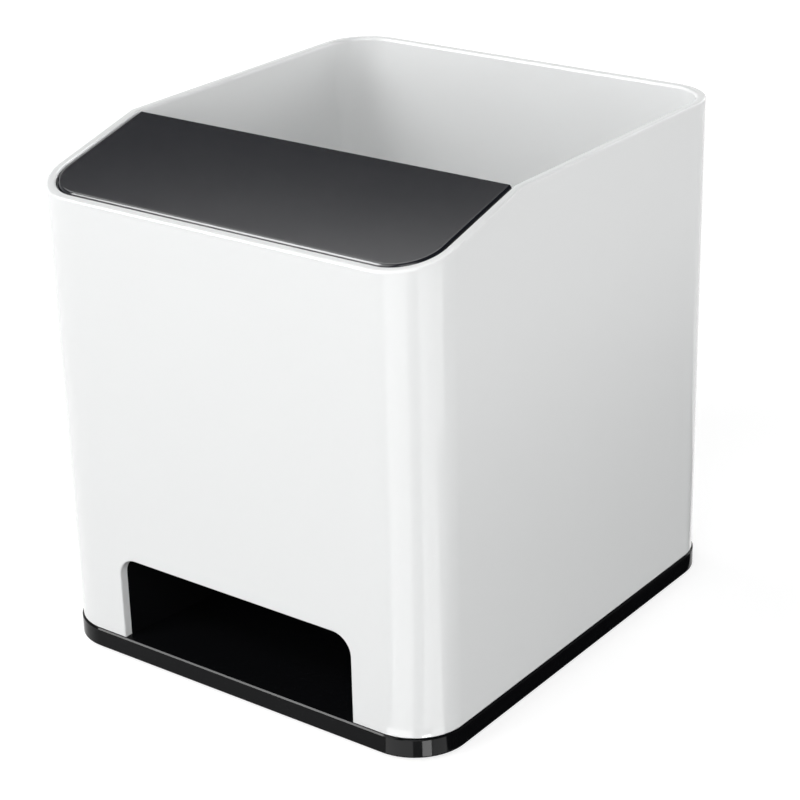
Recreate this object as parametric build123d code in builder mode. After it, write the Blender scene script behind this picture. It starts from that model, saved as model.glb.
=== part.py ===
from build123d import *
import os
from math import sqrt

# Desk pen holder with a phone slot. A white sleeve stands on a black base. A dark slanted cover
# closes the front third, the phone stands in a slot behind it, and a curved duct below the slot
# leads the phone's sound out at the foot of the front face. Pens stand in the well at the back.
# X runs along the front from left to right, -Y is the front, Z is up, and the origin is the
# middle of the rectangle that the object covers on the table. All sizes are in millimetres.

# Overall sizes
overall_width = 90.0
overall_depth = 101.0
overall_height = 100.0

# Sleeve
corner_radius = 10.3
wall = 1.9
slant_run = 30.0
slant_drop = 7.9
rim_outer_chamfer = 0.3
rim_inner_round = 0.6
shell_foot_chamfer = 0.3

# Outlet in the front face
outlet_side = 17.25
outlet_height = 17.5
outlet_corner = 4.0
outlet_edge_chamfer = 0.3

# Base
foot_proud = 0.5
base_height = 3.7
base_overhang = 0.3
base_edge_chamfer = 0.25
base_floor = 2.0
base_skirt = 2.4
base_rib = 1.2
base_rib_recess = 0.4
lip_height = 4.0
lip_thickness = 1.4

# Slanted cover
cover_thickness = 2.0
cover_gap = 0.35
cover_edge_chamfer = 0.4
cover_rebate = 0.1
cover_overhang = 0.4
seat_width = 1.7
seat_thickness = 1.5
skirt_height = 3.0
skirt_thickness = 1.2
rib_thickness = 1.2
rib_depth = 2.2
clip_width = 9.0
clip_length = 13.0
clip_thickness = 1.5
clip_barb = 1.1
clip_barb_height = 1.8
clip_spacing = 48.0
tongue_width = 8.0
tongue_reach = 1.1
tongue_thickness = 1.3
tongue_spacing = 40.0

# Phone slot
slot_depth = 13.0
ledge_height = 28.0
ledge_thickness = 2.0
cradle_wall = 2.0
window_web = 2.5
window_margin = 1.4
pad_thickness = 1.6
pad_corner = 1.5
pad_inset = 1.0

# Sound duct
throat_side = 20.4
ramp_wall = 2.0
ramp_straight = 2.0
cheek_wall = 1.8
roof_wall = 1.8
roof_tab_height = 8.0

# Divider and its rails
divider_thickness = 2.0
divider_height = 74.0
divider_shoulder = 7.0
divider_edge_chamfer = 0.5
scoop_side = 22.0
scoop_depth = 16.0
scoop_corner = 9.0
rail_reach = 1.6
rail_width = 1.4
stop_height = 3.0
stop_side = 20.0

# Feet, bosses and screws
foot_diameter = 11.0
foot_recess = 1.2
foot_wall = 1.5
boss_inset = 5.9
boss_diameter = 7.0
boss_height = 16.0
gusset = 1.3
post_diameter = 8.4
post_height = 4.8
head_diameter = 5.2
head_height = 1.6
shank_diameter = 2.4
shank_length = 13.0
head_web = 3.0
driver_slot = 0.8
driver_depth = 0.9
driver_share = 0.65
cradle_screw_inset = 7.4

# Clearances, and one overrun for all cuts
fit_gap = 0.25
slide_gap = 0.15
hole_gap = 0.1
overrun = 5.0

# Heights
base_bottom = foot_proud
base_top = base_bottom + base_height
shell_height = overall_height - base_top
outlet_top = base_top + outlet_height
ledge_top = base_top + ledge_height
ledge_bottom = ledge_top - ledge_thickness
post_top = base_top + post_height
head_seat = post_top - head_web
lip_top = base_top + lip_height

# Places seen from above
shell_width = overall_width - 2 * base_overhang
shell_depth = overall_depth - 2 * base_overhang
inner_width = shell_width - 2 * wall
inner_depth = shell_depth - 2 * wall
inner_radius = corner_radius - wall
outlet_width = overall_width - 2 * outlet_side
throat_width = inner_width - 2 * throat_side
front_y = -shell_depth / 2
kink_y = front_y + slant_run
slot_front = kink_y - cover_overhang
slot_back = slot_front + slot_depth
divider_back = slot_back + divider_thickness
ramp_back = slot_back - fit_gap
ramp_front = ramp_back - ramp_wall
rim_slope = slant_drop / slant_run
upright_share = sqrt(1 + rim_slope**2)
boss_x = inner_width / 2 - boss_inset
boss_y = inner_depth / 2 - boss_inset
boss_places = [(x, y) for x in (-boss_x, boss_x) for y in (-boss_y, boss_y)]
cradle_screw_x = inner_width / 2 - cradle_screw_inset
cradle_screw_y = (slot_front + ramp_back) / 2
cradle_screw_places = [(-cradle_screw_x, cradle_screw_y), (cradle_screw_x, cradle_screw_y)]
tolerance = wall / 100


def rim_height(y):
    """Height of the sleeve's rim at a distance y from the middle."""
    return overall_height - max(kink_y - y, 0) * rim_slope


def slanted_band(front, back, top_drop, bottom_drop):
    """Corners, in the side view, of a layer parallel to the slanted rim and below it."""
    places = ((front, top_drop), (back, top_drop), (back, bottom_drop), (front, bottom_drop))
    return [
        (y, overall_height - (kink_y - y) * rim_slope - drop * upright_share) for y, drop in places
    ]


def inset_of(place):
    """How far a place lies inside the sleeve's outline, seen from above."""
    side = abs(place.X) - (shell_width / 2 - corner_radius)
    end = abs(place.Y) - (shell_depth / 2 - corner_radius)
    outside = sqrt(max(side, 0) ** 2 + max(end, 0) ** 2)
    return corner_radius - outside - min(max(side, end), 0)


def on_rim(edge):
    """Whether the middle of an edge lies on the rim's top faces."""
    place = edge.center()
    return abs(place.Z - rim_height(place.Y)) < tolerance


# Space that the cover drops into, open upwards
seat_inset = wall - cover_rebate
with BuildPart() as cover_space:
    with BuildSketch(Plane.YZ):
        Polygon(*slanted_band(front_y, kink_y, -overrun, cover_thickness), align=None)
    extrude(amount=shell_width / 2, both=True)
    with BuildSketch(Plane.XY):
        RectangleRounded(
            shell_width - 2 * seat_inset, shell_depth - 2 * seat_inset, corner_radius - seat_inset
        )
    extrude(amount=overall_height + 2 * overrun, mode=Mode.INTERSECT)

# Ledge round the front third, on which the cover lies
seat_end = slot_front - cradle_wall - fit_gap
seat_bottom = cover_thickness + seat_thickness
with BuildPart() as cover_seat:
    with BuildSketch(Plane.YZ):
        Polygon(*slanted_band(front_y, seat_end, cover_thickness, seat_bottom), align=None)
    extrude(amount=shell_width / 2, both=True)
    with BuildSketch(Plane.XY):
        RectangleRounded(shell_width - wall, shell_depth - wall, corner_radius - wall / 2)
        RectangleRounded(
            inner_width - 2 * seat_width,
            inner_depth - 2 * seat_width,
            inner_radius - seat_width,
            mode=Mode.SUBTRACT,
        )
    extrude(amount=overall_height, mode=Mode.INTERSECT)

# Sleeve
with BuildPart() as outer_shell:
    with BuildSketch(Plane.XY.offset(base_top)):
        RectangleRounded(shell_width, shell_depth, corner_radius)
        RectangleRounded(inner_width, inner_depth, inner_radius, mode=Mode.SUBTRACT)
    extrude(amount=shell_height)
    with BuildSketch(Plane.YZ):
        Polygon(*slanted_band(front_y - overrun, kink_y, -overrun - slant_drop, 0), align=None)
    extrude(amount=shell_width / 2 + overrun, both=True, mode=Mode.SUBTRACT)
    rim_edges = outer_shell.edges().filter_by(on_rim)
    chamfer(rim_edges.filter_by(lambda edge: inset_of(edge.center()) < tolerance), rim_outer_chamfer)
    rim_edges = outer_shell.edges().filter_by(on_rim)
    inner_edges = rim_edges.filter_by(lambda edge: inset_of(edge.center()) > wall - tolerance)

    # Rounded only along the open well; in the front third the cover's space takes this edge away
    fillet(inner_edges.filter_by(lambda edge: edge.center().Y > kink_y), rim_inner_round)
    add(cover_space.part, mode=Mode.SUBTRACT)
    add(cover_seat.part)
    foot_edges = outer_shell.edges().group_by(Axis.Z)[0]
    chamfer(foot_edges.filter_by(lambda edge: inset_of(edge.center()) < tolerance), shell_foot_chamfer)

    # Outlet, open down to the base
    with BuildSketch(Plane.XZ.offset(-front_y - wall - overrun)) as outlet:
        with Locations((0, (base_top - overrun + outlet_top) / 2)):
            Rectangle(outlet_width, outlet_top - base_top + overrun)
        fillet(outlet.vertices().group_by(Axis.Y)[-1], outlet_corner)
    extrude(amount=wall + 2 * overrun, mode=Mode.SUBTRACT)
    front_face = outer_shell.faces().filter_by(Axis.Y).sort_by(Axis.Y)[0]
    outlet_edges = front_face.edges().filter_by(
        lambda edge: abs(edge.center().X) < (outlet_width + wall) / 2
        and base_top + tolerance < edge.center().Z < outlet_top + tolerance
    )
    chamfer(outlet_edges, outlet_edge_chamfer)

    # Screw bosses in the corners, each with two gussets
    with BuildSketch(Plane.XY.offset(post_top)):
        for x, y in boss_places:
            side = 1 if x > 0 else -1
            end = 1 if y > 0 else -1
            with Locations((x, y)):
                Circle(boss_diameter / 2)
            with Locations((x + side * boss_inset / 2, y)):
                Rectangle(boss_inset + wall / 2, gusset)
            with Locations((x, y + end * boss_inset / 2)):
                Rectangle(gusset, boss_inset + wall / 2)
    extrude(amount=boss_height)
    with BuildSketch(Plane.XY.offset(post_top)):
        with Locations(*boss_places):
            Circle(shank_diameter / 2 + hole_gap)
    extrude(amount=boss_height - rib_thickness, mode=Mode.SUBTRACT)

    # Rails for the divider, the front ones above the phone's ledge
    rail_x = inner_width / 2 - rail_reach / 2 + wall / 4
    for rail_y, rail_foot in (
        (slot_back - slide_gap - rail_width / 2, ledge_top + fit_gap),
        (divider_back + slide_gap + rail_width / 2, lip_top + fit_gap),
    ):
        with BuildSketch(Plane.XY.offset(rail_foot)):
            with Locations((-rail_x, rail_y), (rail_x, rail_y)):
                Rectangle(rail_reach + wall / 2, rail_width)
        extrude(amount=base_top + divider_height - rail_foot)

# Skirt under the slanted cover, just inside the ledge
cover_inset = seat_inset + cover_gap
cover_middle = cover_thickness / 2
skirt_inset = wall + seat_width + fit_gap
skirt_end = seat_end - rib_thickness
skirt_bottom = cover_thickness + skirt_height
with BuildPart() as cover_skirt:
    with BuildSketch(Plane.YZ):
        Polygon(*slanted_band(front_y, skirt_end, cover_middle, skirt_bottom), align=None)
    extrude(amount=shell_width / 2, both=True)
    with BuildSketch(Plane.XY):
        for inset, mode in ((skirt_inset, Mode.ADD), (skirt_inset + skirt_thickness, Mode.SUBTRACT)):
            RectangleRounded(
                shell_width - 2 * inset, shell_depth - 2 * inset, corner_radius - inset, mode=mode
            )
    extrude(amount=overall_height, mode=Mode.INTERSECT)

# Slanted cover
with BuildPart() as front_cover:
    with BuildSketch(Plane.YZ):
        Polygon(*slanted_band(front_y, kink_y, 0, cover_thickness), align=None)
    extrude(amount=shell_width / 2, both=True)
    with BuildSketch(Plane.XY):
        RectangleRounded(
            shell_width - 2 * cover_inset, shell_depth - 2 * cover_inset, corner_radius - cover_inset
        )
    extrude(amount=overall_height + overrun, mode=Mode.INTERSECT)
    top_face = front_cover.faces().sort_by(SortBy.AREA)[-2:].sort_by(Axis.Z)[-1]
    chamfer(top_face.edges().sort_by(Axis.Y)[:-1], cover_edge_chamfer)
    add(cover_skirt.part)

    # Ribs under the plate, from the skirt's front to its open back
    rib_front = front_y + skirt_inset + skirt_thickness / 2
    rib_bottom = cover_thickness + rib_depth
    for side in (-1, 0, 1):
        with BuildSketch(Plane.YZ.offset(side * clip_spacing / 2)):
            Polygon(*slanted_band(rib_front, skirt_end, cover_middle, rib_bottom), align=None)
        extrude(amount=rib_thickness / 2, both=True)

    # Two spring clips that hook into windows of the cradle's wall
    clip_back = slot_front - cradle_wall - fit_gap
    clip_front = clip_back - clip_thickness
    clip_top = rim_height(clip_back) - cover_thickness
    clip_foot = clip_top - clip_length
    for side in (-1, 1):
        with BuildSketch(Plane.YZ.offset(side * clip_spacing / 2)):
            Polygon(
                (clip_front, clip_top),
                (clip_front, clip_foot),
                (clip_back, clip_foot),
                (clip_back + clip_barb, clip_foot + clip_barb_height),
                (clip_back, clip_foot + clip_barb_height),
                (clip_back, clip_top),
                align=None,
            )
        extrude(amount=clip_width / 2, both=True)

    # Two tongues that reach under the ledge at the front
    tongue_back = front_y + skirt_inset + skirt_thickness
    tongue_front = tongue_back - tongue_reach - seat_width / 2
    tongue_top = seat_bottom + slide_gap
    tongue_bottom = tongue_top + tongue_thickness
    for side in (-1, 1):
        with BuildSketch(Plane.YZ.offset(side * tongue_spacing / 2)):
            Polygon(*slanted_band(tongue_front, tongue_back, tongue_top, tongue_bottom), align=None)
        extrude(amount=tongue_width / 2, both=True)

# Roof of the duct: a tab behind the front wall, a level stretch, and a bend up to the ledge
roof_radius = ledge_bottom - outlet_top
roof_centre = (slot_front - roof_radius, ledge_bottom)
duct_front = front_y + wall + slide_gap
front_half = outlet_width / 2 + cheek_wall
back_half = throat_width / 2 + cheek_wall
with BuildPart() as duct_roof:
    with BuildSketch(Plane.YZ):
        with BuildLine():
            bend = CenterArc(roof_centre, roof_radius, 270, 90)
            inner_bend = CenterArc(roof_centre, roof_radius - roof_wall, 270, 90)
            Polyline(
                bend @ 0,
                (duct_front, outlet_top),
                (duct_front, outlet_top + roof_tab_height),
                (duct_front + roof_wall, outlet_top + roof_tab_height),
                (duct_front + roof_wall, outlet_top + roof_wall),
                inner_bend @ 0,
            )
            Polyline(
                inner_bend @ 1,
                (slot_front - roof_wall, ledge_top),
                (slot_front, ledge_top),
                bend @ 1,
            )
        make_face()
    extrude(amount=inner_width / 2, both=True)
    with BuildSketch(Plane.XY):
        Polygon(
            (-front_half, front_y),
            (front_half, front_y),
            (back_half, slot_front),
            (-back_half, slot_front),
            align=None,
        )
    extrude(amount=overall_height, mode=Mode.INTERSECT)

# Phone cradle: the slot's front wall and ledge, with the duct's roof below
cradle_width = inner_width - 2 * fit_gap
cradle_top = rim_height(slot_front) - cover_thickness * upright_share - slide_gap
window_front = slot_front + window_margin
window_back = ramp_front - window_margin
window_width = throat_width / 2 - 2 * window_web
window_depth = window_back - window_front
window_y = (window_back + window_front) / 2
window_places = [(side * throat_width / 4, window_y) for side in (-1, 1)]
with BuildPart() as phone_cradle:
    with BuildSketch(Plane.YZ):
        Polygon(
            (slot_front - cradle_wall, ledge_bottom),
            (slot_front - cradle_wall, cradle_top - cradle_wall * rim_slope),
            (slot_front, cradle_top),
            (slot_front, ledge_top),
            (ramp_back, ledge_top),
            (ramp_back, ledge_bottom),
            align=None,
        )
    extrude(amount=cradle_width / 2, both=True)
    add(duct_roof.part)
    with BuildSketch(Plane.XY.offset(ledge_bottom)):
        with Locations(*window_places):
            SlotOverall(window_width, window_depth)
    extrude(amount=ledge_thickness, mode=Mode.SUBTRACT)

    # Windows for the cover's clips
    barb_middle = clip_foot + clip_barb_height / 2
    with BuildSketch(Plane.XZ.offset(-slot_front - overrun)):
        with Locations((-clip_spacing / 2, barb_middle), (clip_spacing / 2, barb_middle)):
            Rectangle(clip_width + 2 * fit_gap, clip_barb_height + 2 * fit_gap)
    extrude(amount=cradle_wall + 2 * overrun, mode=Mode.SUBTRACT)

    # Legs down to the base, each with a gusset under the ledge
    with BuildSketch(Plane.XY.offset(base_top)):
        with Locations(*cradle_screw_places):
            Circle(boss_diameter / 2)
    extrude(amount=ledge_bottom - base_top)
    with BuildSketch(Plane.XY.offset(base_top)):
        with Locations(*cradle_screw_places):
            Circle(shank_diameter / 2 + hole_gap)
    extrude(amount=boss_height - rib_thickness, mode=Mode.SUBTRACT)
    for side in (-1, 1):
        with BuildSketch(Plane.XZ.offset(-cradle_screw_y)):
            Polygon(
                (side * cradle_screw_x, ledge_bottom),
                (side * (cradle_screw_x - boss_diameter), ledge_bottom),
                (side * cradle_screw_x, ledge_bottom - boss_diameter),
                align=None,
            )
        extrude(amount=gusset / 2, both=True)

    # Stiffening ribs up the hidden front of the wall
    for side in (-1, 0, 1):
        with BuildSketch(Plane.YZ.offset(side * throat_width / 2)):
            Polygon(
                (slot_front - cradle_wall, ledge_top),
                (slot_front - cradle_wall, clip_foot - fit_gap),
                (slot_front - cradle_wall - rib_depth, ledge_top),
                align=None,
            )
        extrude(amount=rib_thickness / 2, both=True)

# Pad on the ledge, with the same sound windows
pad_width = cradle_width - 2 * (rail_reach + pad_inset)
pad_depth = ramp_back - slot_front - 2 * fit_gap
with BuildPart() as phone_rest_pad:
    with BuildSketch(Plane.XY.offset(ledge_top)):
        with Locations((0, (ramp_back + slot_front) / 2)):
            RectangleRounded(pad_width, pad_depth, pad_corner)
        with Locations(*window_places):
            SlotOverall(window_width, window_depth, mode=Mode.SUBTRACT)
    extrude(amount=pad_thickness)

# Divider with a scooped top edge, and notches at its foot for the base's lip
divider_width = inner_width - 2 * fit_gap
scoop_width = overall_width - 2 * scoop_side
notch_width = lip_thickness + slide_gap + fit_gap
notch_height = lip_height + fit_gap
with BuildPart() as slot_divider:
    with BuildSketch(Plane.XZ.offset(-divider_back)) as divider_outline:
        with Locations((0, base_top + divider_height / 2)):
            Rectangle(divider_width, divider_height)
        fillet(divider_outline.vertices().group_by(Axis.Y)[-1], divider_shoulder)
        with Locations((0, base_top + divider_height)):
            RectangleRounded(scoop_width, 2 * scoop_depth, scoop_corner, mode=Mode.SUBTRACT)
        for side in (-1, 1):
            with Locations((side * (divider_width - notch_width) / 2, base_top + notch_height / 2)):
                Rectangle(notch_width, notch_height, mode=Mode.SUBTRACT)
        mouth = divider_outline.vertices().group_by(Axis.Y)[-1]
        fillet(mouth.sort_by(lambda corner: abs(corner.X))[0:2], divider_shoulder / 2)
    extrude(amount=divider_thickness)
    scoop_floor = base_top + divider_height - scoop_depth
    long_edges = slot_divider.edges().filter_by(Axis.Y, reverse=True)
    upper_edges = long_edges.filter_by(lambda edge: edge.center().Z > scoop_floor - tolerance)
    chamfer(upper_edges, divider_edge_chamfer)

# Ramp of the duct: a quarter bend from the base's floor up to the ledge, between two cheeks
ramp_radius = ledge_bottom - ramp_straight - base_top
ramp_centre = (ramp_front - ramp_radius, base_top + ramp_radius)
with BuildPart() as sound_ramp:
    with BuildSketch(Plane.YZ):
        with BuildLine():
            face_arc = CenterArc(ramp_centre, ramp_radius, 270, 90)
            back_arc = CenterArc(ramp_centre, ramp_radius + ramp_wall, 270, 90)
            Polyline(face_arc @ 1, (ramp_front, ledge_bottom), (ramp_back, ledge_bottom), back_arc @ 1)
            Line(back_arc @ 0, face_arc @ 0)
        make_face()
    extrude(amount=inner_width / 2, both=True)
    with BuildSketch(Plane.XY):
        Polygon(
            (-front_half, front_y),
            (front_half, front_y),
            (back_half, ramp_back),
            (-back_half, ramp_back),
            align=None,
        )
    extrude(amount=overall_height, mode=Mode.INTERSECT)

# Cheeks of the duct, cut away above for the roof's bend and below the ramp
with BuildPart() as duct_cheeks:
    with BuildSketch(Plane.XY.offset(base_top - base_floor / 2)):
        for side in (-1, 1):
            Polygon(
                (side * outlet_width / 2, duct_front),
                (side * front_half, duct_front),
                (side * back_half, ramp_back),
                (side * throat_width / 2, ramp_back),
                align=None,
            )
    extrude(amount=ledge_bottom - base_top + base_floor / 2)
    with BuildSketch(Plane.YZ):
        with BuildLine():
            roof_arc = CenterArc(roof_centre, roof_radius + slide_gap, 270, 90)
            Polyline(
                roof_arc @ 1,
                (slot_front + slide_gap, ledge_bottom + overrun),
                (front_y, ledge_bottom + overrun),
                (front_y, outlet_top - slide_gap),
                roof_arc @ 0,
            )
        make_face()
    extrude(amount=inner_width, both=True, mode=Mode.SUBTRACT)
    with BuildSketch(Plane.YZ):
        with BuildLine():
            under_arc = CenterArc(ramp_centre, ramp_radius + ramp_wall / 2, 270, 90)
            Polyline(
                under_arc @ 1,
                (ramp_back + overrun, base_top + ramp_radius),
                (ramp_back + overrun, base_top - ramp_wall / 2),
                under_arc @ 0,
            )
        make_face()
    extrude(amount=inner_width, both=True, mode=Mode.SUBTRACT)

# Base
base_radius = corner_radius + base_overhang
foot_block = foot_diameter + 2 * (slide_gap + foot_wall)
lip_width = inner_width - 2 * slide_gap
lip_depth = inner_depth - 2 * slide_gap
with BuildPart() as base_tray:
    with BuildSketch(Plane.XY.offset(base_bottom)):
        RectangleRounded(overall_width, overall_depth, base_radius)
    extrude(amount=base_height)
    chamfer(base_tray.faces().sort_by(Axis.Z)[-1].edges(), base_edge_chamfer)

    # Hollow underside, with a square block round each foot
    with BuildSketch(Plane.XY.offset(base_bottom)):
        RectangleRounded(
            overall_width - 2 * base_skirt, overall_depth - 2 * base_skirt, base_radius - base_skirt
        )
        with Locations(*boss_places):
            Rectangle(foot_block, foot_block, mode=Mode.SUBTRACT)
    extrude(amount=base_height - base_floor, mode=Mode.SUBTRACT)

    # Crossed ribs in the hollow
    with BuildSketch(Plane.XY.offset(base_bottom + base_rib_recess)):
        with GridLocations(0, overall_depth / 4, 1, 3):
            Rectangle(overall_width - base_skirt, base_rib)
        with GridLocations(overall_width / 4, 0, 3, 1):
            Rectangle(base_rib, overall_depth - base_skirt)
    extrude(amount=base_height - base_floor / 2 - base_rib_recess)

    # Locating lip inside the sleeve, left out at the outlet and at the divider
    with BuildSketch(Plane.XY.offset(base_top - base_floor / 2)):
        RectangleRounded(lip_width, lip_depth, inner_radius - slide_gap)
        RectangleRounded(
            lip_width - 2 * lip_thickness,
            lip_depth - 2 * lip_thickness,
            inner_radius - slide_gap - lip_thickness,
            mode=Mode.SUBTRACT,
        )
        with Locations((0, front_y)):
            Rectangle(outlet_width + cheek_wall, 4 * wall, mode=Mode.SUBTRACT)
        with Locations((0, (slot_back + divider_back) / 2)):
            Rectangle(overall_width, divider_thickness + 2 * (rail_width + fit_gap), mode=Mode.SUBTRACT)
    extrude(amount=lip_height + base_floor / 2)

    # Posts under the bosses
    with BuildSketch(Plane.XY.offset(base_top - base_floor / 2)):
        with Locations(*boss_places):
            Circle(post_diameter / 2)
    extrude(amount=post_height + base_floor / 2)

    # Duct, and a low rib that stops the divider's foot
    add(sound_ramp.part)
    add(duct_cheeks.part)
    with BuildSketch(Plane.XY.offset(base_top)):
        with Locations((0, divider_back + fit_gap + base_rib / 2)):
            Rectangle(overall_width - 2 * stop_side, base_rib)
    extrude(amount=stop_height)

    # Recesses for the feet, counterbored holes under the bosses and plain holes under the legs
    with BuildSketch(Plane.XY.offset(base_bottom)):
        with Locations(*boss_places):
            Circle(foot_diameter / 2 + slide_gap)
    extrude(amount=foot_recess, mode=Mode.SUBTRACT)
    with BuildSketch(Plane.XY.offset(base_bottom)):
        with Locations(*boss_places):
            Circle(head_diameter / 2 + slide_gap)
    extrude(amount=head_seat - base_bottom, mode=Mode.SUBTRACT)
    with BuildSketch(Plane.XY.offset(base_bottom)):
        with Locations(*boss_places, *cradle_screw_places):
            Circle(shank_diameter / 2 + slide_gap)
    extrude(amount=post_top - base_bottom, mode=Mode.SUBTRACT)

# One screw, with its head below and a cross slot in the head
with BuildPart() as screw:
    with BuildSketch(Plane.XY):
        Circle(head_diameter / 2)
    extrude(amount=-head_height)
    with BuildSketch(Plane.XY):
        Circle(shank_diameter / 2)
    extrude(amount=shank_length)
    with BuildSketch(Plane.XY.offset(-head_height)):
        Rectangle(head_diameter * driver_share, driver_slot)
        Rectangle(driver_slot, head_diameter * driver_share)
    extrude(amount=driver_depth, mode=Mode.SUBTRACT)

with BuildPart() as base_screws:
    with Locations(*[(x, y, head_seat) for x, y in boss_places]):
        add(screw.part)

with BuildPart() as cradle_screws:
    with Locations(*[(x, y, base_top - base_floor) for x, y in cradle_screw_places]):
        add(screw.part)

os.makedirs("parts", exist_ok=True)

# Four soft feet, each in its recess under a corner
for side, side_name in ((-1, "left"), (1, "right")):
    for end, end_name in ((-1, "front"), (1, "rear")):
        with BuildPart() as foot:
            with BuildSketch(Plane.XY):
                with Locations((side * boss_x, end * boss_y)):
                    Circle(foot_diameter / 2)
            extrude(amount=foot_proud + foot_recess)
        foot.part.label = f"foot_{end_name}_{side_name}"
        export_step(foot.part, f"parts/{foot.part.label}.step")

outer_shell.part.label = "outer_shell"
export_step(outer_shell.part, "parts/outer_shell.step")
front_cover.part.label = "front_cover"
export_step(front_cover.part, "parts/front_cover.step")
phone_cradle.part.label = "phone_cradle"
export_step(phone_cradle.part, "parts/phone_cradle.step")
phone_rest_pad.part.label = "phone_rest_pad"
export_step(phone_rest_pad.part, "parts/phone_rest_pad.step")
slot_divider.part.label = "slot_divider"
export_step(slot_divider.part, "parts/slot_divider.step")
base_tray.part.label = "base_tray"
export_step(base_tray.part, "parts/base_tray.step")
base_screws.part.label = "base_screws"
export_step(base_screws.part, "parts/base_screws.step")
cradle_screws.part.label = "cradle_screws"
export_step(cradle_screws.part, "parts/cradle_screws.step")
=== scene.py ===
import math

import bmesh
import bpy
from mathutils import Euler, Matrix, Vector


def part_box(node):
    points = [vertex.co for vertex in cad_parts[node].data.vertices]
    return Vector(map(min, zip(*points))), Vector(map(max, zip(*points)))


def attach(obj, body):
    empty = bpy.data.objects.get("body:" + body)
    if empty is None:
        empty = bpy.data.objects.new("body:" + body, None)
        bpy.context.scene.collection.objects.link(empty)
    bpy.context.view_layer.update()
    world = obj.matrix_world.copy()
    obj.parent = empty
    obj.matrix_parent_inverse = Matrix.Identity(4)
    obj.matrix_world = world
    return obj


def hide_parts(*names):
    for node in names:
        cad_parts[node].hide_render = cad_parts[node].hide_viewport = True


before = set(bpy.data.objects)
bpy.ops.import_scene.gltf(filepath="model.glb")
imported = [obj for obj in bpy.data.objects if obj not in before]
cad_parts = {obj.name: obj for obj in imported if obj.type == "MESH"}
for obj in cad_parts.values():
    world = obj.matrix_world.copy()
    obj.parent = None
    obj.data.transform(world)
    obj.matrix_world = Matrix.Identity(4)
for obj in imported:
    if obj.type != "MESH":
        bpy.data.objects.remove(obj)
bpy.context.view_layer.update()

# Looks of the desk pen holder with a phone slot: a white sleeve on a black base, a dark slanted
# cover over the front third, and behind it the phone's cradle, the divider and the pen well.
# The frame's solids give every place. Lengths are in metres, X runs along the front from left to
# right, -Y is the front and Z is up.

bl_info = {
    "name": "Desk pen holder",
    "version": (1, 0, 0),
    "blender": (4, 5, 0),
    "location": "3D View > Sidebar > Pen Holder",
    "description": "Makes the pen holder's pieces, their finishes and a plain studio round them",
    "category": "Object",
}

MM = 0.001

# Points nearer than this are one, faces within this angle are one flat, and edges past this are crisp
MERGE = 0.002 * MM
LEVEL = math.radians(0.5)
SHARP = math.radians(35)

# How far a cutting tool stands past what it cuts, and the smallest rounds of the turned pieces
OVERRUN = 2 * MM
FINE_ROUND = 0.05 * MM
SMALL_ROUND = 0.1 * MM

# How many steps go along a round or a corner, and round each turned form
ROUND_STEPS = 5
TURNED_ROUND_STEPS = 4
COVER_CORNER_STEPS = 24
OUTLET_CORNER_STEPS = 12
BOSS_STEPS = 48
HOLE_STEPS = 32
SCREW_STEPS = 40
THREAD_STEPS = 16
FOOT_STEPS = 64


def box_of(node_name):
    """The lowest and the highest corner of a solid."""
    low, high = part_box(node_name)
    return Vector(low), Vector(high)


SLEEVE_LOW, SLEEVE_HIGH = box_of("outer_shell")
FOOT_NAMES = ("foot_front_left", "foot_front_right", "foot_rear_left", "foot_rear_right")


# Sizes and colours that a user would change

def length(name, description, millimetres):
    """A length as a property, with its default in millimetres."""
    return bpy.props.FloatProperty(
        name=name, description=description, default=millimetres * MM, min=0.0, precision=5, unit="LENGTH",
    )


def colour(name, description, default):
    """A colour as a property."""
    return bpy.props.FloatVectorProperty(
        name=name, description=description, default=default, size=3, min=0.0, max=1.0, subtype="COLOR",
    )


def strength(name, description, default):
    """A brightness as a property, where 1 is a white surface in full light."""
    return bpy.props.FloatProperty(name=name, description=description, default=default, min=0.0)


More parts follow.
